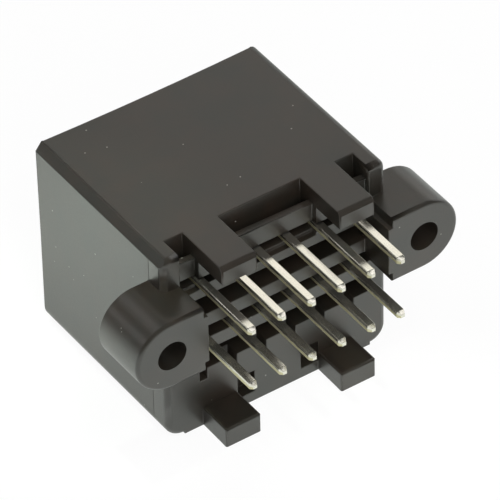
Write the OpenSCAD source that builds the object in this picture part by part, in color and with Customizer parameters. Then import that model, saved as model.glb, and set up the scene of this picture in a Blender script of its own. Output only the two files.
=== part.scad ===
// Shrouded board header: one moulded housing and two rows of stamped contacts.
// It lies on its lock-side wall as it comes to rest: pins along -Y, plug mouth along +Y, +Z up.
// Inside the modules Y is measured from the board-side face of the base, towards the mouth.

/* [Contact field] */
// Contacts in each of the two rows
contacts_per_row = 6; // [4:1:10]
// Distance between neighbouring contacts in a row
contact_pitch = 2.5; // [2.3:0.05:3.2]
// Distance between the two rows
row_spacing = 5; // [4.8:0.1:6]

/* [Shroud] */
// Thickness of the two side walls
side_wall = 1.45; // [1.1:0.05:2]
// Thickness of the roof
roof_wall = 1.45; // [1.1:0.05:1.8]
// Thickness of the lock-side wall
lock_wall = 1.5; // [1.2:0.05:2]
// Room from the outer contacts to the side walls
end_room = 1.7; // [1.4:0.05:2.5]
// Room from the upper contacts to the roof
roof_room = 1.8; // [1.6:0.05:2.5]
// Room from the lower contacts to the lock-side wall
lock_room = 6.8; // [6.2:0.1:8]
// Length of the shroud from the board-side face to the mouth
shroud_length = 15.8; // [14:0.1:20]
// Thickness of the base between the board side and the plug cavity
base_thickness = 5; // [4.4:0.1:6]
// Radius of the two corners along the roof
roof_corner_r = 0.65; // [0.6:0.01:0.9]
// Radius of the two corners along the lock-side wall
lock_corner_r = 1.4; // [0.8:0.05:1.8]
// Round along the board-side edge of the side walls
front_edge_r = 0.5; // [0.2:0.05:0.55]
// Radius of the plug cavity's corners
cavity_corner_r = 0.6; // [0.3:0.05:0.9]
// How far the mouth's long edges bow in
mouth_bow = 0.15; // [0.05:0.01:0.3]
// Lead-in chamfer inside the mouth
mouth_chamfer = 0.4; // [0.2:0.05:0.6]

/* [Board feet] */
// How far the feet and ears stand proud of the board-side face
standoff = 2.85; // [2:0.05:4]
// Width of a foot
foot_width = 2.96; // [2:0.02:3.4]
// Distance from a foot out to the plug cavity's side
foot_side_gap = 1.54; // [0.8:0.02:2]
// Thickness of the two feet along the roof
roof_foot_t = 1.5; // [1:0.05:1.8]
// Thickness of the two feet along the lock-side wall
lock_foot_t = 1.65; // [1:0.05:2]
// Bevel at the end of the roof feet
roof_foot_bevel = 0.3; // [0.1:0.05:0.6]
// Bevel at the end of the lock-side feet
lock_foot_bevel = 0.18; // [0.1:0.02:0.4]
// Round along a foot's inner edges and front corners
foot_edge_r = 0.15; // [0.05:0.01:0.3]

/* [Base relief] */
// Depth of the relief beside the roof feet, and of the slots that the pins leave through
relief_depth = 1.93; // [1.4:0.01:2.4]
// How far the bar beside the roof feet is set back from the board-side face
relief_set_back = 0.5; // [0.2:0.05:0.55]
// Thickness of the bar that closes the roof relief towards the board
relief_bar_t = 0.55; // [0.55:0.05:0.8]
// Round along that bar's top
relief_bar_r = 0.5; // [0.1:0.05:0.5]
// How far that bar's top lies under the roof
relief_bar_drop = 0.85; // [0.4:0.05:0.9]
// Thickness of the web under the roof relief
relief_web = 0.6; // [0.4:0.05:0.9]
// Height of the upper row's slot above the pin's axis
roof_slot_rise = 0.36; // [0.34:0.02:0.6]
// Height of the lower row's slot above the pin's axis
pin_slot_rise = 0.72; // [0.5:0.02:0.95]
// Thickness of the bar under each row of pins
pin_bar_t = 1.16; // [0.8:0.02:1.4]
// Height of the window under the bar
window_height = 1.62; // [1.2:0.02:2]
// Depth of the windows
window_depth = 3; // [1.5:0.1:3.6]
// Width of the square notches under the lower window
notch_width = 0.64; // [0.4:0.02:0.9]
// Height of those notches
notch_height = 1; // [0.5:0.05:1.4]
// Depth of those notches
notch_depth = 1.2; // [0.6:0.1:2]
// Width of the pockets beside the lock-side feet
pocket_width = 1.45; // [0.6:0.05:2.4]
// Height of those pockets
pocket_height = 1.9; // [1:0.05:2.4]
// Height of the rim left under them
pocket_rim = 0.92; // [0.6:0.02:1.4]
// Depth of those pockets
pocket_depth = 1; // [0.4:0.1:2]

/* [Screw ears] */
// Outer radius of an ear
ear_r = 2.9; // [2.2:0.05:3.2]
// Diameter of the screw hole
ear_hole_d = 2.35; // [1.6:0.05:3]
// Distance from the side wall out to the hole
ear_offset = 1.24; // [0.6:0.02:3]
// How far the ears sit above the middle of the two rows
ear_lift = 0.1; // [-0.5:0.05:0.5]
// How far an ear runs back along the side wall
ear_back = 1.9; // [1:0.1:6]
// Round along the board end of an ear
ear_edge_r = 0.3; // [0.1:0.02:0.4]
// How far the rib on an ear's inner face stands in
ear_rib_in = 0.36; // [0.2:0.02:0.8]
// Height of that rib
ear_rib_height = 4.14; // [2:0.02:4.4]
// How far that rib runs into the base
ear_rib_root = 0.5; // [0.2:0.1:1]

/* [Plug keys and lock] */
// Width of the lock catch
catch_width = 4; // [2:0.1:5]
// Height of the lock catch
catch_height = 1; // [0.5:0.05:1.4]
// Length of the catch's flat top
catch_top = 1.3; // [0.5:0.1:2]
// Length of the catch's ramp towards the mouth
catch_ramp = 1.9; // [1:0.1:3]
// Distance from the mouth to the catch's ramp
catch_from_mouth = 2.2; // [1:0.1:4]
// Clear distance between the two guide ribs beside the catch
guide_gap = 7.2; // [6:0.1:9]
// Thickness of a guide rib
guide_t = 0.8; // [0.5:0.05:1.2]
// Height of a guide rib
guide_height = 1.5; // [0.6:0.05:2]
// Width of the two key ribs under the roof
key_width = 0.9; // [0.5:0.05:1.4]
// Height of those key ribs
key_height = 0.6; // [0.3:0.05:0.9]
// Distance that the ribs stop short of the mouth
rib_setback = 1.2; // [0.6:0.1:3]

/* [Contacts] */
// Thickness of the strip that the contacts are stamped from
strip_t = 0.56; // [0.4:0.02:0.64]
// Width of the board pin
pin_width = 0.62; // [0.4:0.02:0.7]
// How far the pin stands out of the board-side face
pin_reach = 6.4; // [5:0.05:8]
// Length of the pin's pointed end
pin_point = 0.35; // [0.3:0.05:1.2]
// Width left at the very tip of the pin
pin_tip = 0.3; // [0.1:0.02:0.36]
// Width of the blade that the plug's terminal grips
blade_width = 1; // [0.8:0.02:1.2]
// Length of the blade inside the plug cavity
blade_length = 7.3; // [5:0.1:8.4]
// Length of the blade's lead-in
blade_point = 0.9; // [0.4:0.05:1.5]
// Width left at the very tip of the blade
blade_tip = 0.5; // [0.3:0.02:0.7]
// Depth that the blade is pressed into the base
blade_seat = 2; // [1.2:0.1:2.2]
// Edge break along pin and blade
contact_edge_break = 0.05; // [0.02:0.01:0.08]
// Clearance round a contact in the base
contact_fit = 0.02; // [0.01:0.01:0.05]

/* [Hidden] */
$fn = 48;
// Facets for the very large radius of the bowed mouth
bow_fn = 720;
// Overlap that keeps cuts clear of the faces they open
over = 1;
row_length = (contacts_per_row - 1) * contact_pitch;
cavity_width = row_length + 2 * end_room;
body_width = cavity_width + 2 * side_wall;
lower_z = lock_wall + lock_room;
upper_z = lower_z + row_spacing;
cavity_top = upper_z + roof_room;
body_height = cavity_top + roof_wall;
half_width = body_width / 2;
half_cavity = cavity_width / 2;
foot_outer = half_cavity - foot_side_gap;
foot_inner = foot_outer - foot_width;
foot_x = (foot_inner + foot_outer) / 2;
// The two pockets always leave a land between them
pocket_start = max(foot_inner - pocket_width, foot_inner / 4);
ear_x = half_width + ear_offset;
ear_z = (lower_z + upper_z) / 2 + ear_lift;
blade_end = base_thickness + blade_length;
seat_y = base_thickness - blade_seat;
slot_top = upper_z + roof_slot_rise;
bar_back = relief_set_back + relief_bar_t;
slot_low = strip_t / 2 + contact_fit;
bow_r = (half_width * half_width + mouth_bow * mouth_bow) / (2 * mouth_bow);
// The part is centred on its length, from the pin tips to the mouth
front_y = (pin_reach - shroud_length) / 2;
plastic_colour = [0.10, 0.10, 0.095];
tin_colour = [0.82, 0.82, 0.78];

// Extrudes a section drawn in X and Z along Y
module along_y(from, to) {
    translate([0, to, 0]) rotate([90, 0, 0]) linear_extrude(height = to - from) children();
}

// Extrudes a profile drawn in Y and Z along X
module along_x(from, to) {
    translate([from, 0, 0]) rotate([90, 0, 90]) linear_extrude(height = to - from) children();
}

// Box between two corners
module block(low, high) {
    translate(low) cube(high - low);
}

// The corner that a round of radius r takes off, at the origin, open towards +X and +Y
module corner_waste(r) {
    difference() {
        translate([-over, -over]) square(r + over);
        translate([r, r]) circle(r);
    }
}

// Rectangle with its two lower corners rounded
module lower_rounded(half, low, high, r) {
    difference() {
        translate([-half, low]) square([2 * half, high - low]);
        for (side = [0, 1]) mirror([side, 0]) translate([-half, low]) corner_waste(r);
    }
}

// Section of the shroud or its cavity: upper and lower corners have radii of their own
module rounded_section(half, low, high, upper_r, lower_r) {
    difference() {
        lower_rounded(half, low, high, lower_r);
        for (side = [0, 1]) mirror([side, 0])
            translate([-half, high]) mirror([0, 1]) corner_waste(upper_r);
    }
}

// Half profile of a rounded edge: a rectangle from the axis out to reach, its first corner rounded by r
module rounded_edge_profile(reach, r) {
    difference() {
        square([reach, r]);
        translate([reach, 0]) mirror([1, 0]) corner_waste(r);
    }
}

// Disc on an axis along Y, with its -Y edge rounded by r
module rounded_button(disc_r, r) {
    rotate([-90, 0, 0]) mirror([0, 1, 0]) rotate_extrude() rounded_edge_profile(disc_r, r);
}

// First slice of the shroud, with its edge rounded all the way round
module rounded_front() {
    r = front_edge_r;
    for (side = [0, 1]) mirror([side, 0, 0]) {
        translate([half_width - lock_corner_r, 0, lock_corner_r]) rounded_button(lock_corner_r, r);
        translate([half_width - roof_corner_r, 0, body_height - roof_corner_r])
            rounded_button(roof_corner_r, r);
        translate([0, 0, lock_corner_r])
            linear_extrude(height = body_height - roof_corner_r - lock_corner_r)
                rounded_edge_profile(half_width, r);
    }
    along_x(lock_corner_r - half_width, half_width - lock_corner_r)
        translate([0, body_height / 2]) rotate(-90) rounded_edge_profile(body_height / 2, r);
    along_x(roof_corner_r - half_width, half_width - roof_corner_r)
        translate([0, body_height / 2]) rotate(-90) mirror([1, 0]) rounded_edge_profile(body_height / 2, r);
}

// Outside of the shroud, with the long edges of its mouth bowed in
module shroud() {
    difference() {
        union() {
            along_y(front_edge_r, shroud_length)
                rounded_section(half_width, 0, body_height, roof_corner_r, lock_corner_r);
            rounded_front();
            block([-half_cavity, 0, 0], [half_cavity, front_edge_r, body_height]);
        }
        translate([0, shroud_length - mouth_bow + bow_r, -over])
            cylinder(r = bow_r, h = body_height + 2 * over, $fn = bow_fn);
    }
}

// A foot, drawn with its upper face at z = 0; it runs into the base.
// It is where its side view, its section and its plan meet; the section's rounds lie above or below
module foot(thickness, bevel, rounds_above) {
    root = relief_depth + over;
    half = foot_width / 2;
    intersection() {
        along_x(-half, half) polygon([
            [-standoff, -thickness],
            [-standoff, -bevel],
            [bevel - standoff, 0],
            [root, 0],
            [root, -thickness]
        ]);
        along_y(-standoff, root) translate([0, -thickness / 2]) mirror([0, rounds_above ? 1 : 0])
            lower_rounded(half, -thickness / 2, thickness / 2, foot_edge_r);
        translate([0, 0, -thickness]) linear_extrude(height = thickness)
            lower_rounded(half, -standoff, root, foot_edge_r);
    }
}

module feet() {
    for (side = [-1, 1]) translate([side * foot_x, 0, 0]) {
        translate([0, 0, body_height]) foot(roof_foot_t, roof_foot_bevel, false);
        // The lock-side feet rest on the wall's outer face and are bevelled on top
        translate([0, 0, lock_foot_t]) foot(lock_foot_t, lock_foot_bevel, true);
    }
}

// Screw ear on the +X side: a D section with a rounded board end
module ear() {
    translate([ear_x, -standoff, ear_z]) {
        rounded_button(ear_r, ear_edge_r);
        translate([0, ear_edge_r, 0]) rotate([-90, 0, 0])
            cylinder(r = ear_r, h = standoff + ear_back - ear_edge_r);
    }
    translate([0, 0, ear_z]) {
        for (up = [0, 1]) mirror([0, 0, up]) along_x(half_cavity, ear_x)
            translate([-standoff, 0]) rotate(90) mirror([0, 1])
                rounded_edge_profile(ear_r, ear_edge_r);
        block([half_cavity, ear_edge_r - standoff, -ear_r], [ear_x, ear_back, ear_r]);
    }
}

module ears() {
    for (side = [0, 1]) mirror([side, 0, 0]) ear();
}

// Rib on the inner face of each ear, rooted in the base
module ear_ribs() {
    for (side = [0, 1]) mirror([side, 0, 0]) translate([0, 0, ear_z])
        block([half_cavity - ear_rib_in, -standoff, -ear_rib_height / 2],
              [half_cavity + side_wall / 2, ear_rib_root, ear_rib_height / 2]);
}

module ear_holes() {
    for (side = [-1, 1]) translate([side * ear_x, -standoff - over, ear_z]) rotate([-90, 0, 0])
        cylinder(d = ear_hole_d, h = standoff + ear_back + 2 * over);
}

// Lead-in round the mouth: a cone at each corner of the cavity and a bevel along each wall
module mouth_lead_in() {
    r = cavity_corner_r;
    start = shroud_length - mouth_chamfer;
    lead = mouth_chamfer + over;
    straight_x = half_cavity - r;
    low = lock_wall + r;
    high = cavity_top - r;
    for (side = [0, 1]) mirror([side, 0, 0]) {
        for (corner_z = [low, high]) translate([straight_x, start, corner_z]) rotate([-90, 0, 0])
            cylinder(r1 = r, r2 = r + lead, h = lead);
        translate([0, 0, low]) linear_extrude(height = high - low) polygon([
            [straight_x, start],
            [half_cavity, start],
            [half_cavity + lead, start + lead],
            [straight_x, start + lead]
        ]);
    }
    along_x(-straight_x, straight_x) {
        polygon([
            [start, high], [start, cavity_top], [start + lead, cavity_top + lead], [start + lead, high]
        ]);
        polygon([
            [start, low], [start, lock_wall], [start + lead, lock_wall - lead], [start + lead, low]
        ]);
    }
}

// Space that the plug fills
module plug_cavity() {
    along_y(base_thickness, shroud_length + over)
        rounded_section(half_cavity, lock_wall, cavity_top, cavity_corner_r, cavity_corner_r);
    mouth_lead_in();
}

// Lock catch, the guide ribs beside it and the key ribs under the roof
module keys_and_lock() {
    rib_end = shroud_length - rib_setback;
    ramp_start = shroud_length - catch_from_mouth;
    root = base_thickness - over;
    along_x(-catch_width / 2, catch_width / 2) translate([0, lock_wall]) polygon([
        [ramp_start - catch_ramp - catch_top, -lock_wall / 2],
        [ramp_start - catch_ramp - catch_top, catch_height],
        [ramp_start - catch_ramp, catch_height],
        [ramp_start, 0],
        [ramp_start, -lock_wall / 2]
    ]);
    for (side = [-1, 1]) {
        guide_x = side * (guide_gap + guide_t) / 2;
        block([guide_x - guide_t / 2, root, lock_wall / 2],
              [guide_x + guide_t / 2, rib_end, lock_wall + guide_height]);
    }
    for (side = [-1, 1])
        block([side * contact_pitch - key_width / 2, root, cavity_top - key_height],
              [side * contact_pitch + key_width / 2, rib_end, cavity_top + roof_wall / 2]);
}

// Relief beside the roof feet, behind a low bar that joins them and is set back a little
module roof_relief() {
    bar_top = body_height - relief_bar_drop;
    bands = [[-foot_inner, foot_inner], [-half_cavity, -foot_outer], [foot_outer, half_cavity]];
    for (band = bands) {
        block([band[0], bar_back, slot_top + relief_web], [band[1], relief_depth, body_height + over]);
        block([band[0], -over, bar_top], [band[1], relief_depth, body_height + over]);
        block([band[0], -over, slot_top - over], [band[1], relief_set_back, body_height + over]);
        along_x(band[0], band[1]) translate([relief_set_back, bar_top]) mirror([0, 1])
            corner_waste(relief_bar_r);
    }
}

// Slots that the pins leave through, and the windows that core out the base under each row
module base_windows() {
    for (row = [[lower_z, lower_z + pin_slot_rise], [upper_z, slot_top]]) {
        bar_low = row[0] - slot_low - pin_bar_t;
        block([-half_cavity, -over, row[0] - slot_low], [half_cavity, relief_depth, row[1]]);
        block([-half_cavity, -over, bar_low - window_height], [half_cavity, window_depth, bar_low]);
    }
}

// Square notches under the lower window, one at each contact
module notches() {
    top = lower_z - slot_low - pin_bar_t - window_height;
    for (i = [1 : contacts_per_row])
        block([contact_x(i) - notch_width / 2, -over, top - notch_height],
              [contact_x(i) + notch_width / 2, notch_depth, top + over]);
}

// Pockets beside the lock-side feet
module foot_pockets() {
    for (side = [0, 1]) mirror([side, 0, 0])
        block([pocket_start, -over, pocket_rim], [foot_inner, pocket_depth, pocket_rim + pocket_height]);
}

function contact_x(i) = (i - 1) * contact_pitch - row_length / 2;

// Stepped hole for one contact: the pin's passage, then the seat of the blade
module contact_hole() {
    thick = strip_t + 2 * contact_fit;
    narrow = pin_width + 2 * contact_fit;
    wide = blade_width + 2 * contact_fit;
    block([-narrow / 2, relief_depth - over, -thick / 2], [narrow / 2, base_thickness, thick / 2]);
    block([-wide / 2, seat_y, -thick / 2], [wide / 2, base_thickness + over, thick / 2]);
}

module housing() {
    color(plastic_colour) translate([0, front_y, 0]) difference() {
        union() {
            difference() {
                union() {
                    shroud();
                    feet();
                    ears();
                }
                plug_cavity();
                roof_relief();
                base_windows();
                notches();
                foot_pockets();
            }
            keys_and_lock();
            ear_ribs();
        }
        ear_holes();
        for (row_z = [lower_z, upper_z], i = [1 : contacts_per_row])
            translate([contact_x(i), 0, row_z]) contact_hole();
    }
}

// Bar along Y with broken edges
module broken_bar(width, from, to) {
    cut = contact_edge_break;
    w = width / 2;
    t = strip_t / 2;
    along_y(from, to) polygon([
        [-w, cut - t], [cut - w, -t], [w - cut, -t], [w, cut - t],
        [w, t - cut], [w - cut, t], [cut - w, t], [-w, t - cut]
    ]);
}

// Outline of a contact, pointed at both ends, from the half widths along its length
function contact_outline(pin_half, blade_half, pin_tip_half, blade_tip_half) = [
    [-pin_tip_half, -pin_reach],
    [-pin_half, pin_point - pin_reach],
    [-pin_half, seat_y],
    [-blade_half, seat_y],
    [-blade_half, blade_end - blade_point],
    [-blade_tip_half, blade_end],
    [blade_tip_half, blade_end],
    [blade_half, blade_end - blade_point],
    [blade_half, seat_y],
    [pin_half, seat_y],
    [pin_half, pin_point - pin_reach],
    [pin_tip_half, -pin_reach]
];

// One stamped contact: board pin, step that seats in the base, and blade
module contact(i, row_z) {
    t = strip_t / 2;
    color(tin_colour) translate([contact_x(i), front_y, row_z]) intersection() {
        union() {
            broken_bar(pin_width, -pin_reach, seat_y);
            broken_bar(blade_width, seat_y, blade_end);
        }
        translate([0, 0, -strip_t]) linear_extrude(height = 2 * strip_t)
            polygon(contact_outline(pin_width / 2, blade_width / 2, pin_tip / 2, blade_tip / 2));
        translate([-blade_width, 0, 0]) rotate([90, 0, 90]) linear_extrude(height = 2 * blade_width)
            polygon([
                [-pin_reach, -pin_tip / 2],
                [-pin_reach, pin_tip / 2],
                [pin_point - pin_reach, t],
                [blade_end - blade_point, t],
                [blade_end, strip_t / 4],
                [blade_end, -strip_t / 4],
                [blade_end - blade_point, -t],
                [pin_point - pin_reach, -t]
            ]);
    }
}

module upper_contact(i) {
    contact(i, upper_z);
}

module lower_contact(i) {
    contact(i, lower_z);
}

housing();
for (i = [1 : contacts_per_row]) {
    upper_contact(i);
    lower_contact(i);
}
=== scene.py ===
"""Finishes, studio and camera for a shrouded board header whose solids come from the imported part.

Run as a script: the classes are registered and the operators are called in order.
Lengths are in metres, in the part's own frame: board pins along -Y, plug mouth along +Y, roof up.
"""

import math

import bmesh
import bpy
from bpy.props import FloatProperty, FloatVectorProperty, PointerProperty
from mathutils import Matrix, Vector


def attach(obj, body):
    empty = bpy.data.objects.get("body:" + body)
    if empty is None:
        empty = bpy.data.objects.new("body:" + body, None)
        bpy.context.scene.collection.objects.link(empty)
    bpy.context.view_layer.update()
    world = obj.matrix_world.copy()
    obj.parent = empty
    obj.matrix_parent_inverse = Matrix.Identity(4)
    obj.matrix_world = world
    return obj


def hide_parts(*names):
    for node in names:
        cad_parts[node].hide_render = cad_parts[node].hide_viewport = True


bl_info = {
    "name": "Board header finishes",
    "version": (1, 0, 0),
    "blender": (4, 5, 0),
    "location": "View3D > Sidebar > Header",
    "description": "Moulded housing, tin-plated contacts and studio for a shrouded board header",
    "category": "Object",
}

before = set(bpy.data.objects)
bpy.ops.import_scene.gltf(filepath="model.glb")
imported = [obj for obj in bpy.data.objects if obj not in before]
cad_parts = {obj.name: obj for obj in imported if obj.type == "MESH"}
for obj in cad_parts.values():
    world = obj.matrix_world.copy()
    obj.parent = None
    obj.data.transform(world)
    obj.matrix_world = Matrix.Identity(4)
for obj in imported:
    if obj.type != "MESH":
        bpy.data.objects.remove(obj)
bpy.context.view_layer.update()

CONTACTS = [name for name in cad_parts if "contact" in name]

# Edges sharper than these are rounded and shaded sharp: on the housing, and on the tapered contacts
SMOOTH_ANGLE = math.radians(42)
TAPER_ANGLE = math.radians(16)
# Sharp edges that leave a corner closer together than this stay as they are
PINCH_ANGLE = math.radians(30)
# A sharp edge is rounded only if it is this many radii long
SHORTEST_EDGE = 2.2

# Places on the solid housing: the side walls, the roof's round and the bar that closes the roof's relief
HALF_WIDTH = 0.0094
ROUND_START = 0.01593
BAR_FRONT = -0.0042
BAR_BACK = -0.00365
BAR_ROUND_START = 0.0152
BAR_ROUND_END = 0.0157
BAR_SLACK = 0.00002
# How far a corner or face may be off a side wall and still count as on it
ON_WALL = 1e-6

# The flat on the roof's round: its tilt, its middle over the start of the round, and the block that cuts it
FLAT_TILT = math.radians(54)
FLAT_MIDDLE = 0.0004
BLOCK_SIZE = 0.001
BLOCK_LENGTH = 0.04

# How bright the floor is to the camera and in reflections, and the tints of what the part mirrors
DIRECT_GLOW = 0.94
MIRRORED_GLOW = 0.8
WHITE = (1.0, 1.0, 1.0)
FLOOR_TINT = (0.84, 1.0, 0.83)
SKY_TINT = (1.0, 0.99, 0.93)
MIRROR_TINT = (0.955, 1.0, 0.95)

# The point that all softboxes face
LAMP_AIM = Vector((0.0, 0.0, 0.008))
# Softboxes that light the part and leave no highlight: name, direction, distance, width, height, radiance
HIDDEN_SOFTBOXES = (
    ("left_softbox", (-0.397, 0.145, 0.906), 0.35, 0.2, 0.2, 2.4),
    ("top_softbox", (0.082, -0.462, 0.883), 0.6, 0.3, 0.3, 6.2),
    ("front_softbox", (-0.296, -0.814, 0.5), 0.6, 0.3, 0.3, 4.5),
)
# Softboxes that the part also mirrors: the same, then tint
MIRRORED_SOFTBOXES = (
    ("back_right_softbox", (0.611, 0.729, 0.309), 0.5, 0.4, 0.18, 1.0, SKY_TINT),
    ("right_softbox", (0.937, 0.165, 0.309), 0.5, 0.25, 0.2, 1.6, WHITE),
    ("back_left_softbox", (-0.159, 0.595, 0.788), 0.5, 0.2, 0.2, 0.75, WHITE),
    ("pin_softbox", (0.422, 0.626, 0.656), 0.5, 0.11, 0.11, 1.25, SKY_TINT),
    ("pin_tip_softbox", (0.42, 0.0, 0.907), 0.5, 0.08, 0.08, 1.5, WHITE),
    ("pin_edge_softbox", (-0.657, 0.626, 0.418), 0.5, 0.1, 0.1, 1.8, WHITE),
)
# Spots on the floor: name, place, point on the floor, cone in degrees, brightness
FLOOR_SPOTS = (
    ("left_back_floor", (-0.05, 0.03, 0.25), (-0.026, 0.018, 0.0), 6.5, 4.4),
    ("left_near_floor", (-0.03, 0.004, 0.25), (-0.0115, 0.001, 0.0), 1.6, 4.5),
    ("front_floor", (0.005, -0.07, 0.25), (0.0045, -0.0155, 0.0), 2.2, 3.0),
)


class HeaderHousingSettings(bpy.types.PropertyGroup):
    """Sizes and colours of the moulded housing."""

    edge_round: FloatProperty(
        name="Edge round",
        description="Radius left by the mould along the housing's sharp edges",
        default=0.00008,
        min=0.00001,
        max=0.00014,
        precision=6,
        unit="LENGTH",
    )
    bar_top: FloatProperty(
        name="Bar top",
        description="Height of the flat top of the bar that closes the roof's relief",
        default=0.01525,
        min=0.0152,
        max=0.0157,
        precision=6,
        unit="LENGTH",
    )
    mould_line_y: FloatProperty(
        name="Upright mould line",
        description="Place of the upright mould line on each side wall",
        default=-0.002985,
        precision=6,
        unit="LENGTH",
    )
    mould_line_z: FloatProperty(
        name="Long mould line",
        description="Height of the mould line that runs along each side wall under the roof's round",
        default=0.01585,
        precision=6,
        unit="LENGTH",
    )
    mould_line: FloatProperty(
        name="Mould line",
        description="Half the width of a mould line, which is half as deep again",
        default=0.00004,
        min=0.000005,
        max=0.00004,
        precision=6,
        unit="LENGTH",
    )
    colour: FloatVectorProperty(
        name="Plastic",
        description="Colour of the housing's black plastic",
        default=(0.023, 0.0195, 0.0155),
        min=0.0,
        max=1.0,
        size=3,
        subtype="COLOR",
    )
    roughness: FloatProperty(
        name="Roughness",
        description="Mean roughness of the moulded surface",
        default=0.36,
        min=0.0,
        max=1.0,
        subtype="FACTOR",
    )
    grain: FloatProperty(
        name="Grain",
        description="Width of one grain of the moulded texture",
        default=0.00012,
        min=0.00002,
        max=0.001,
        precision=6,
        unit="LENGTH",
    )


class HeaderContactSettings(bpy.types.PropertyGroup):
    """Sizes and colours of the contacts."""

    edge_round: FloatProperty(
        name="Edge round",
        description="Radius along the stamped and plated edges",
        default=0.000015,
        min=0.000005,
        max=0.00005,
        precision=6,
        unit="LENGTH",
    )
    colour: FloatVectorProperty(
        name="Tin",
        description="Colour of the tin plating",
        default=(0.80, 0.77, 0.68),
        min=0.0,
        max=1.0,
        size=3,
        subtype="COLOR",
    )
    roughness: FloatProperty(
        name="Roughness",
        description="Mean roughness of the plating",
        default=0.17,
        min=0.0,
        max=1.0,
        subtype="FACTOR",
    )
    break_share: FloatProperty(
        name="Break",
        description="Share of a sheared side, from below, that broke instead of being cut",
        default=0.55,
        min=0.0,
        max=1.0,
        subtype="FACTOR",
    )
    break_colour: FloatVectorProperty(
        name="Broken side",
        description="Colour of the thin plating over the broken part of a side",
        default=(0.66, 0.62, 0.40),
        min=0.0,
        max=1.0,
        size=3,
        subtype="COLOR",
    )


class HeaderStageSettings(bpy.types.PropertyGroup):
    """Camera, floor and light of the studio."""

    aim: FloatVectorProperty(
        name="Aim",
        description="Point that the camera looks at",
        default=(0.002140, 0.001690, 0.007430),
        size=3,
        precision=6,
        subtype="XYZ",
        unit="LENGTH",
    )
    azimuth: FloatProperty(
        name="Azimuth",
        description="Turn of the camera to the left of the pin side",
        default=math.radians(33.80),
        subtype="ANGLE",
    )
    elevation: FloatProperty(
        name="Elevation",
        description="Height of the camera over the horizon",
        default=math.radians(41.14),
        subtype="ANGLE",
    )
    roll: FloatProperty(
        name="Roll",
        description="Turn of the camera about its own axis",
        default=math.radians(-1.37),
        subtype="ANGLE",
    )
    distance: FloatProperty(
        name="Distance",
        description="Distance from the camera to the point it looks at",
        default=0.4066,
        unit="LENGTH",
    )
    focal_length: FloatProperty(
        name="Focal length",
        description="Focal length of the lens, in millimetres on a 36 mm sensor",
        default=414.1,
    )
    floor_colour: FloatVectorProperty(
        name="Floor",
        description="Colour of the studio floor",
        default=(0.92, 0.92, 0.92),
        min=0.0,
        max=1.0,
        size=3,
        subtype="COLOR",
    )
    world_strength: FloatProperty(
        name="Room light",
        description="Strength of the even light from all sides",
        default=0.1,
        min=0.0,
    )


def make_active(piece):
    """Selects one object alone and makes it active."""
    bpy.ops.object.select_all(action="DESELECT")
    piece.select_set(True)
    bpy.context.view_layer.objects.active = piece


def merged_copy(node_name, piece_name):
    """Copies a CAD node as one closed mesh with its flat faces whole."""
    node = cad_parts[node_name]
    piece = bpy.data.objects.new(piece_name, node.data.copy())
    piece.data.name = piece_name
    bpy.context.scene.collection.objects.link(piece)
    make_active(piece)
    bpy.ops.object.mode_set(mode="EDIT")
    bpy.ops.mesh.select_all(action="SELECT")
    bpy.ops.mesh.remove_doubles(threshold=2e-6)
    bpy.ops.mesh.dissolve_limited(angle_limit=math.radians(0.3))
    bpy.ops.object.mode_set(mode="OBJECT")
    piece.data.materials.clear()
    return piece


def pinched(corner, sharp):
    """Tells whether two sharp edges run out of a corner almost side by side."""
    edges = [edge for edge in corner.link_edges if edge in sharp]
    rays = [(edge.other_vert(corner).co - corner.co).normalized() for edge in edges]
    return any(a.angle(b) < PINCH_ANGLE for i, a in enumerate(rays) for b in rays[:i])


def round_edges(piece, radius, sharp_angle):
    """Rounds the sharp edges of a piece, except where they run into a point."""
    make_active(piece)
    bpy.ops.object.mode_set(mode="EDIT")
    bpy.ops.mesh.select_all(action="DESELECT")
    bpy.ops.mesh.select_mode(type="EDGE")
    mesh = bmesh.from_edit_mesh(piece.data)
    sharp = {edge for edge in mesh.edges if edge.calc_face_angle(0.0) > sharp_angle}
    left = {corner for corner in mesh.verts if pinched(corner, sharp)}
    for edge in sharp:
        edge.select = edge.calc_length() > SHORTEST_EDGE * radius and not left.intersection(edge.verts)
    bmesh.update_edit_mesh(piece.data)
    bpy.ops.mesh.bevel(offset=radius, offset_type="OFFSET", segments=2, affect="EDGES", clamp_overlap=False)
    bpy.ops.object.mode_set(mode="OBJECT")


def shade_rounds(piece, angle):
    """Shades the rounds of a piece smooth and its flat faces flat."""
    make_active(piece)
    bpy.ops.object.shade_smooth_by_angle(angle=angle)
    weighted = piece.modifiers.new("flat_faces", "WEIGHTED_NORMAL")
    weighted.keep_sharp = True
    bpy.ops.object.modifier_apply(modifier=weighted.name)


def select_corners(piece, wanted):
    """Selects the corners of the active piece, in edit mode, that a test picks by their place."""
    bpy.ops.mesh.select_mode(type="VERT")
    bpy.ops.mesh.select_all(action="DESELECT")
    mesh = bmesh.from_edit_mesh(piece.data)
    for corner in mesh.verts:
        corner.select_set(wanted(corner.co))
    mesh.select_flush_mode()
    bmesh.update_edit_mesh(piece.data)


def flatten_bar(piece, height):
    """Makes the rounded top of the bar that closes the roof's relief flat, at a given height."""
    make_active(piece)
    bpy.ops.object.mode_set(mode="EDIT")
    select_corners(piece, lambda place: (
        abs(place.x) < HALF_WIDTH
        and BAR_FRONT - BAR_SLACK < place.y < BAR_BACK + BAR_SLACK
        and BAR_ROUND_START - BAR_SLACK < place.z < BAR_ROUND_END + BAR_SLACK
    ))
    bpy.ops.transform.resize(value=(1.0, 1.0, 0.0), center_override=(0.0, 0.0, height))
    bpy.ops.object.mode_set(mode="OBJECT")


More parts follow.
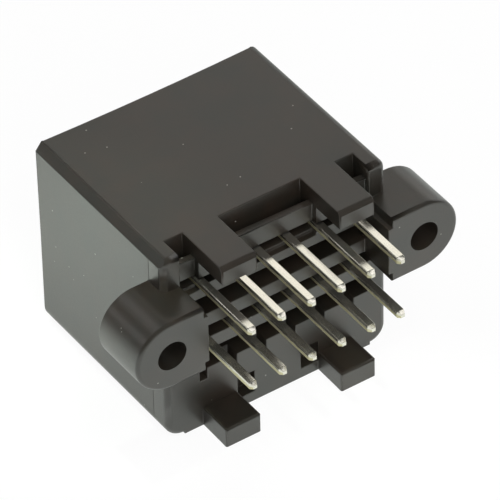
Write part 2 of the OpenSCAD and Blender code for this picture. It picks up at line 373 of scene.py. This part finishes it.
def flatten_roof_round(piece):
    """Planes a flat on the lower part of the round between the roof and the left side wall."""
    out = Vector((-math.sin(FLAT_TILT), 0.0, math.cos(FLAT_TILT)))
    up = Vector((math.cos(FLAT_TILT), 0.0, math.sin(FLAT_TILT)))
    middle = Vector((-HALF_WIDTH, 0.0, ROUND_START)) + BLOCK_SIZE / 2.0 * out + FLAT_MIDDLE * up
    bpy.ops.object.select_all(action="DESELECT")
    bpy.ops.mesh.primitive_cube_add(
        size=1.0,
        location=middle,
        rotation=(0.0, -FLAT_TILT, 0.0),
        scale=(BLOCK_SIZE, BLOCK_LENGTH, BLOCK_SIZE),
    )
    block = bpy.context.active_object
    make_active(piece)
    cut = piece.modifiers.new("flat", "BOOLEAN")
    cut.operation = "DIFFERENCE"
    cut.solver = "EXACT"
    cut.object = block
    bpy.ops.object.modifier_apply(modifier=cut.name)
    bpy.data.objects.remove(block)


def on_side_wall(place):
    """Tells whether a point is on the flat outer face of a side wall."""
    return abs(abs(place.x) - HALF_WIDTH) < ON_WALL


def cut_side_walls(piece, place, normal):
    """Cuts the flat outer faces of both side walls along a plane, in edit mode."""
    bpy.ops.mesh.select_mode(type="FACE")
    bpy.ops.mesh.select_all(action="DESELECT")
    mesh = bmesh.from_edit_mesh(piece.data)
    for face in mesh.faces:
        upright = abs(face.normal.x) > 0.999
        face.select_set(upright and on_side_wall(face.calc_center_median()))
    bmesh.update_edit_mesh(piece.data)
    bpy.ops.mesh.bisect(plane_co=place, plane_no=normal, threshold=1e-7)


def add_mould_lines(piece, settings):
    """Sinks the mould's two lines into each side wall, and sets back what is over the long one."""
    make_active(piece)
    bpy.ops.object.mode_set(mode="EDIT")
    line, upright, along = settings.mould_line, settings.mould_line_y, settings.mould_line_z
    for step in (-line, 0.0, line):
        cut_side_walls(piece, (0.0, upright + step, 0.0), (0.0, 1.0, 0.0))
        cut_side_walls(piece, (0.0, 0.0, along + step), (0.0, 0.0, 1.0))
    select_corners(piece, lambda place: on_side_wall(place) and (
        abs(place.y - upright) < ON_WALL
        and place.z < along + ON_WALL
        or abs(place.z - along) < ON_WALL
        or place.z > along + line + ON_WALL
    ))
    depth = 1.5 * line
    inward = 1.0 - depth / HALF_WIDTH
    bpy.ops.transform.resize(value=(inward, 1.0, 1.0), center_override=(0.0, 0.0, 0.0))
    bpy.ops.object.mode_set(mode="OBJECT")


def add_node(tree, kind, values=None, **settings):
    """Adds a node, sets its own settings, then the values of its inputs by name."""
    node = tree.nodes.new(kind)
    for name, value in settings.items():
        setattr(node, name, value)
    for name, value in (values or {}).items():
        node.inputs[name].default_value = value
    return node


def new_group(name, inputs, outputs):
    """Starts a shader node group whose sockets are given as (name, kind, default)."""
    tree = bpy.data.node_groups.new(name, "ShaderNodeTree")
    for label, kind, value in inputs:
        socket = tree.interface.new_socket(name=label, in_out="INPUT", socket_type=kind)
        if value is not None:
            socket.default_value = value
    for label, kind in outputs:
        tree.interface.new_socket(name=label, in_out="OUTPUT", socket_type=kind)
    return tree, tree.nodes.new("NodeGroupInput"), tree.nodes.new("NodeGroupOutput")


def mottle_group():
    """Slow, soft variation over a surface, between 0 and 1, with patches of a given size."""
    found = bpy.data.node_groups.get("mottle")
    if found:
        return found
    tree, given, result = new_group(
        "mottle",
        [("Vector", "NodeSocketVector", None), ("Patch Size", "NodeSocketFloat", 0.002)],
        [("Value", "NodeSocketFloat")],
    )
    link = tree.links.new
    scale = add_node(tree, "ShaderNodeMath", operation="DIVIDE")
    scale.inputs[0].default_value = 1.0
    noise = add_node(tree, "ShaderNodeTexNoise", {"Detail": 3.0, "Roughness": 0.55})
    link(given.outputs["Patch Size"], scale.inputs[1])
    link(scale.outputs["Value"], noise.inputs["Scale"])
    link(given.outputs["Vector"], noise.inputs["Vector"])
    link(noise.outputs["Fac"], result.inputs["Value"])
    return tree


def dust_group():
    """Sparse round specks: 1 in a speck and 0 elsewhere."""
    tree, given, result = new_group(
        "dust_specks",
        [
            ("Vector", "NodeSocketVector", None),
            ("Spacing", "NodeSocketFloat", 0.001),
            ("Share", "NodeSocketFloat", 0.1),
            ("Speck Size", "NodeSocketFloat", 0.05),
        ],
        [("Mask", "NodeSocketFloat")],
    )
    link = tree.links.new
    scale = add_node(tree, "ShaderNodeMath", operation="DIVIDE")
    scale.inputs[0].default_value = 1.0
    cells = add_node(tree, "ShaderNodeTexVoronoi", {"Randomness": 1.0})
    near = add_node(tree, "ShaderNodeMath", operation="LESS_THAN")
    lottery = add_node(tree, "ShaderNodeSeparateColor")
    drawn = add_node(tree, "ShaderNodeMath", operation="LESS_THAN")
    both = add_node(tree, "ShaderNodeMath", operation="MULTIPLY")
    link(given.outputs["Spacing"], scale.inputs[1])
    link(scale.outputs["Value"], cells.inputs["Scale"])
    link(given.outputs["Vector"], cells.inputs["Vector"])
    link(cells.outputs["Distance"], near.inputs[0])
    link(given.outputs["Speck Size"], near.inputs[1])
    link(cells.outputs["Color"], lottery.inputs["Color"])
    link(lottery.outputs["Red"], drawn.inputs[0])
    link(given.outputs["Share"], drawn.inputs[1])
    link(near.outputs["Value"], both.inputs[0])
    link(drawn.outputs["Value"], both.inputs[1])
    link(both.outputs["Value"], result.inputs["Mask"])
    return tree


def add_group(tree, group, values):
    """Places a node group in a material with its own values."""
    node = add_node(tree, "ShaderNodeGroup", node_tree=group)
    for name, value in values.items():
        node.inputs[name].default_value = value
    return node


def new_material(name):
    """Starts a material and returns it with its tree, its shader and its coordinates."""
    material = bpy.data.materials.new(name)
    material.use_nodes = True
    tree = material.node_tree
    tree.nodes.clear()
    shader = add_node(tree, "ShaderNodeBsdfPrincipled")
    output = add_node(tree, "ShaderNodeOutputMaterial")
    tree.links.new(shader.outputs["BSDF"], output.inputs["Surface"])
    place = add_node(tree, "ShaderNodeTexCoord")
    return material, tree, shader, place.outputs["Object"]


def map_range(tree, source, low, high, start=0.0, end=1.0):
    """Spreads a value, between 0 and 1 or a given start and end, over a range."""
    limits = {"From Min": start, "From Max": end, "To Min": low, "To Max": high}
    node = add_node(tree, "ShaderNodeMapRange", limits)
    tree.links.new(source, node.inputs["Value"])
    return node.outputs["Result"]


def mix_colours(tree, factor, first, second):
    """Mixes two colours, each given as a value or as a socket, by a factor socket."""
    node = add_node(tree, "ShaderNodeMix", data_type="RGBA")
    tree.links.new(factor, node.inputs["Factor"])
    for label, colour in (("A", first), ("B", second)):
        socket = [s for s in node.inputs if s.name == label and s.type == "RGBA"][0]
        if isinstance(colour, bpy.types.NodeSocket):
            tree.links.new(colour, socket)
        else:
            socket.default_value = (*colour, 1.0)
    return [s for s in node.outputs if s.type == "RGBA"][0]


def satin_black_plastic(settings):
    """Moulded black plastic: fine grain, slow mottling, a few specks of dust."""
    material, tree, shader, place = new_material("satin_black_plastic")
    link = tree.links.new
    shader.inputs["IOR"].default_value = 1.8
    colour = Vector(settings.colour)
    patches = add_group(tree, mottle_group(), {"Patch Size": 0.003})
    link(place, patches.inputs["Vector"])
    specks = add_group(tree, dust_group(), {"Spacing": 0.0012, "Share": 0.4, "Speck Size": 0.05})
    link(place, specks.inputs["Vector"])
    tone = map_range(tree, patches.outputs["Value"], 0.0, 1.0, 0.35, 0.65)
    greener = colour * Vector((0.86, 0.94, 0.94))
    browner = colour * Vector((1.2, 1.05, 0.98))
    dust_colour = (0.3, 0.29, 0.26)
    body = mix_colours(tree, tone, greener, browner)
    link(mix_colours(tree, specks.outputs["Mask"], body, dust_colour), shader.inputs["Base Color"])
    grain = add_node(tree, "ShaderNodeTexNoise", {"Scale": 1.0 / settings.grain, "Detail": 2.0})
    link(place, grain.inputs["Vector"])
    spread = 0.05
    low, high = settings.roughness - spread, settings.roughness + spread
    link(map_range(tree, grain.outputs["Fac"], low, high), shader.inputs["Roughness"])
    bump = add_node(tree, "ShaderNodeBump", {"Strength": 0.5, "Distance": 0.000005})
    link(grain.outputs["Fac"], bump.inputs["Height"])
    link(bump.outputs["Normal"], shader.inputs["Normal"])
    return material


def mark_sides(piece):
    """Stores which faces of a stamped strip are its sheared sides, and how high in it each corner is."""
    mesh = piece.data
    sideways = 0.8
    sheared = mesh.attributes.new("sheared", "FLOAT", "FACE")
    for face in mesh.polygons:
        sheared.data[face.index].value = float(abs(face.normal.x) > sideways)
    level = mesh.attributes.new("level", "FLOAT", "POINT")
    bottom = min(corner.co.z for corner in mesh.vertices)
    top = max(corner.co.z for corner in mesh.vertices)
    for corner in mesh.vertices:
        level.data[corner.index].value = (corner.co.z - bottom) / (top - bottom)


def broken_side(tree, share, noise):
    """Mask of the broken part of the sheared sides, with an uneven upper border."""
    sheared = add_node(tree, "ShaderNodeAttribute", attribute_name="sheared")
    level = add_node(tree, "ShaderNodeAttribute", attribute_name="level")
    waviness, softness = 0.2, 0.12
    uneven = map_range(tree, noise, share - waviness, share + waviness)
    height = add_node(tree, "ShaderNodeMath", operation="SUBTRACT")
    soft = add_node(tree, "ShaderNodeMapRange", {"From Min": -softness, "From Max": softness})
    mask = add_node(tree, "ShaderNodeMath", operation="MULTIPLY")
    link = tree.links.new
    link(uneven, height.inputs[0])
    link(level.outputs["Fac"], height.inputs[1])
    link(height.outputs["Value"], soft.inputs["Value"])
    link(soft.outputs["Result"], mask.inputs[0])
    link(sheared.outputs["Fac"], mask.inputs[1])
    return mask.outputs["Value"]


def tin_plating(settings):
    """Tin over a stamped strip: faint lines along it, dull patches, sides cut above and broken below."""
    material, tree, shader, place = new_material("tin_plating")
    link = tree.links.new
    colour = Vector(settings.colour)
    patches = add_group(tree, mottle_group(), {"Patch Size": 0.0008})
    link(place, patches.inputs["Vector"])
    along = add_node(tree, "ShaderNodeMapping", {"Scale": (1.0, 0.06, 1.0)})
    link(place, along.inputs["Vector"])
    lines = add_node(tree, "ShaderNodeTexNoise", {"Scale": 16000.0, "Detail": 2.0})
    link(along.outputs["Vector"], lines.inputs["Vector"])
    broken = broken_side(tree, settings.break_share, patches.outputs["Value"])
    dull = colour * 0.86
    plated = mix_colours(tree, patches.outputs["Value"], colour, dull)
    link(mix_colours(tree, broken, plated, Vector(settings.break_colour)), shader.inputs["Base Color"])
    spread = 0.04
    low, high = settings.roughness - spread, settings.roughness + spread
    smooth = map_range(tree, lines.outputs["Fac"], low, high)
    rough = add_node(tree, "ShaderNodeMath", operation="MULTIPLY_ADD")
    break_roughness = 0.35
    rough.inputs[1].default_value = break_roughness
    link(broken, rough.inputs[0])
    link(smooth, rough.inputs[2])
    link(rough.outputs["Value"], shader.inputs["Roughness"])
    plated_metal, broken_metal = 0.95, 0.75
    link(map_range(tree, broken, plated_metal, broken_metal), shader.inputs["Metallic"])
    bump = add_node(tree, "ShaderNodeBump", {"Strength": 0.1, "Distance": 0.000002})
    link(lines.outputs["Fac"], bump.inputs["Height"])
    link(bump.outputs["Normal"], shader.inputs["Normal"])
    return material


class HEADER_OT_housing(bpy.types.Operator):
    """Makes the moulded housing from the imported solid, with rounded edges and its finish"""

    bl_idname = "header.housing"
    bl_label = "Moulded housing"

    def execute(self, context):
        settings = context.scene.header_housing
        piece = merged_copy("housing", "moulded_housing")
        flatten_bar(piece, settings.bar_top)
        flatten_roof_round(piece)
        round_edges(piece, settings.edge_round, SMOOTH_ANGLE)
        add_mould_lines(piece, settings)
        shade_rounds(piece, SMOOTH_ANGLE)
        piece.data.materials.append(satin_black_plastic(settings))
        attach(piece, "root")
        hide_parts("housing")
        return {"FINISHED"}


class HEADER_OT_contacts(bpy.types.Operator):
    """Makes the tin-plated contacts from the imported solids, with rounded edges and their finish"""

    bl_idname = "header.contacts"
    bl_label = "Contacts"

    def execute(self, context):
        settings = context.scene.header_contacts
        finish = tin_plating(settings)
        for name in CONTACTS:
            piece = merged_copy(name, "plated_" + name)
            round_edges(piece, settings.edge_round, TAPER_ANGLE)
            shade_rounds(piece, TAPER_ANGLE)
            mark_sides(piece)
            piece.data.materials.append(finish)
            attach(piece, "root")
            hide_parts(name)
        return {"FINISHED"}


def add_camera(settings):
    """Adds the camera at the photograph's viewing angle."""
    azimuth, elevation, roll = settings.azimuth, settings.elevation, settings.roll
    back = Vector((
        -math.sin(azimuth) * math.cos(elevation),
        -math.cos(azimuth) * math.cos(elevation),
        math.sin(elevation),
    ))
    level = Vector((math.cos(azimuth), -math.sin(azimuth), 0.0))
    right = Matrix.Rotation(roll, 3, back) @ level
    up = back.cross(right)
    camera = bpy.data.objects.new("camera", bpy.data.cameras.new("camera"))
    bpy.context.scene.collection.objects.link(camera)
    turn = Matrix((right, up, back)).transposed().to_4x4()
    camera.matrix_world = Matrix.Translation(Vector(settings.aim) + settings.distance * back) @ turn
    camera.data.sensor_width = 36.0
    camera.data.lens = settings.focal_length
    camera.data.clip_start = 0.01
    camera.data.clip_end = 20.0
    bpy.context.scene.camera = camera


def add_softbox(name, direction, distance, width, height, radiance, tint=WHITE, mirrored=True):
    """Adds a softbox that faces the middle of the part; its radiance is what a mirror would show of it."""
    lamp = bpy.data.lights.new(name, "AREA")
    lamp.color = tint
    lamp.shape = "RECTANGLE"
    lamp.size = width
    lamp.size_y = height
    lamp.energy = radiance * math.pi * width * height
    softbox = bpy.data.objects.new(name, lamp)
    softbox.visible_glossy = mirrored
    bpy.context.scene.collection.objects.link(softbox)
    towards = Vector(direction).normalized()
    turn = towards.to_track_quat("Z", "Y").to_matrix().to_4x4()
    softbox.matrix_world = Matrix.Translation(towards * distance + LAMP_AIM) @ turn


def add_floor_spot(name, place, aim, cone, brightness):
    """Adds a spot that lights a patch of the floor beside the part, which a wall of the part mirrors."""
    lamp = bpy.data.lights.new(name, "SPOT")
    away = Vector(place) - Vector(aim)
    lamp.spot_size = math.radians(cone)
    lamp.spot_blend = 0.5
    lamp.shadow_soft_size = 0.01
    lamp.energy = brightness * 4.0 * math.pi ** 2 * away.length_squared
    lamp.color = FLOOR_TINT
    spot = bpy.data.objects.new(name, lamp)
    spot.visible_glossy = False
    bpy.context.scene.collection.objects.link(spot)
    turn = away.to_track_quat("Z", "Y").to_matrix().to_4x4()
    spot.matrix_world = Matrix.Translation(Vector(place)) @ turn


def studio_white(settings):
    """Matte floor that also shows white to the camera and in reflections, and keeps shadows."""
    material = bpy.data.materials.new("studio_white")
    material.use_nodes = True
    tree = material.node_tree
    tree.nodes.clear()
    link = tree.links.new
    matte = add_node(tree, "ShaderNodeBsdfDiffuse", {"Color": (*settings.floor_colour, 1.0)})
    glow = add_node(tree, "ShaderNodeEmission", {"Strength": 1.0})
    rays = add_node(tree, "ShaderNodeLightPath")
    shown = mix_colours(tree, rays.outputs["Is Camera Ray"], MIRROR_TINT, WHITE)
    mirrored = add_node(tree, "ShaderNodeMath", operation="MAXIMUM")
    dimmed = add_node(tree, "ShaderNodeMath", operation="MULTIPLY")
    dimmed.inputs[1].default_value = MIRRORED_GLOW
    direct = add_node(tree, "ShaderNodeMath", operation="MULTIPLY")
    direct.inputs[1].default_value = DIRECT_GLOW
    share = add_node(tree, "ShaderNodeMath", operation="MAXIMUM")
    mixed = add_node(tree, "ShaderNodeMixShader")
    under = add_node(tree, "ShaderNodeBsdfTransparent")
    side = add_node(tree, "ShaderNodeNewGeometry")
    faced = add_node(tree, "ShaderNodeMixShader")
    output = add_node(tree, "ShaderNodeOutputMaterial")
    link(shown, glow.inputs["Color"])
    link(rays.outputs["Is Camera Ray"], direct.inputs[0])
    link(rays.outputs["Is Glossy Ray"], mirrored.inputs[0])
    link(rays.outputs["Is Transmission Ray"], mirrored.inputs[1])
    link(mirrored.outputs["Value"], dimmed.inputs[0])
    link(direct.outputs["Value"], share.inputs[0])
    link(dimmed.outputs["Value"], share.inputs[1])
    link(share.outputs["Value"], mixed.inputs["Fac"])
    link(matte.outputs["BSDF"], mixed.inputs[1])
    link(glow.outputs["Emission"], mixed.inputs[2])
    link(side.outputs["Backfacing"], faced.inputs["Fac"])
    link(mixed.outputs["Shader"], faced.inputs[1])
    link(under.outputs["BSDF"], faced.inputs[2])
    link(faced.outputs["Shader"], output.inputs["Surface"])
    return material


def room_light(settings):
    """Even light from all sides."""
    world = bpy.data.worlds.new("room")
    bpy.context.scene.world = world
    world.use_nodes = True
    background = world.node_tree.nodes["Background"]
    background.inputs["Color"].default_value = (*WHITE, 1.0)
    background.inputs["Strength"].default_value = settings.world_strength


class HEADER_OT_stage(bpy.types.Operator):
    """Makes the camera, the floor and the light"""

    bl_idname = "header.stage"
    bl_label = "Studio"

    def execute(self, context):
        settings = context.scene.header_stage
        context.scene.view_settings.view_transform = "Standard"
        add_camera(settings)
        bpy.ops.object.select_all(action="DESELECT")
        bpy.ops.mesh.primitive_plane_add(size=6.0, location=(0.0, 0.0, 0.0))
        floor = context.active_object
        floor.name = "floor"
        floor.data.materials.append(studio_white(settings))
        for lamp in HIDDEN_SOFTBOXES:
            add_softbox(*lamp, mirrored=False)
        for lamp in MIRRORED_SOFTBOXES:
            add_softbox(*lamp)
        for lamp in FLOOR_SPOTS:
            add_floor_spot(*lamp)
        room_light(settings)
        return {"FINISHED"}


class HEADER_PT_panel(bpy.types.Panel):
    """Lists the operators and their settings"""

    bl_idname = "HEADER_PT_panel"
    bl_label = "Board header"
    bl_space_type = "VIEW_3D"
    bl_region_type = "UI"
    bl_category = "Header"

    def draw(self, context):
        layout = self.layout
        parts = (
            ("header.stage", context.scene.header_stage),
            ("header.housing", context.scene.header_housing),
            ("header.contacts", context.scene.header_contacts),
        )
        for operator, settings in parts:
            layout.operator(operator)
            column = layout.column()
            for name in settings.bl_rna.properties.keys():
                if name not in {"rna_type", "name"}:
                    column.prop(settings, name)


CLASSES = (
    HeaderHousingSettings,
    HeaderContactSettings,
    HeaderStageSettings,
    HEADER_OT_housing,
    HEADER_OT_contacts,
    HEADER_OT_stage,
    HEADER_PT_panel,
)


def register():
    for cls in CLASSES:
        bpy.utils.register_class(cls)
    bpy.types.Scene.header_housing = PointerProperty(type=HeaderHousingSettings)
    bpy.types.Scene.header_contacts = PointerProperty(type=HeaderContactSettings)
    bpy.types.Scene.header_stage = PointerProperty(type=HeaderStageSettings)


def unregister():
    del bpy.types.Scene.header_stage
    del bpy.types.Scene.header_contacts
    del bpy.types.Scene.header_housing
    for cls in reversed(CLASSES):
        bpy.utils.unregister_class(cls)


def main():
    register()
    bpy.ops.header.stage()
    bpy.ops.header.housing()
    bpy.ops.header.contacts()


if __name__ == "__main__":
    main()
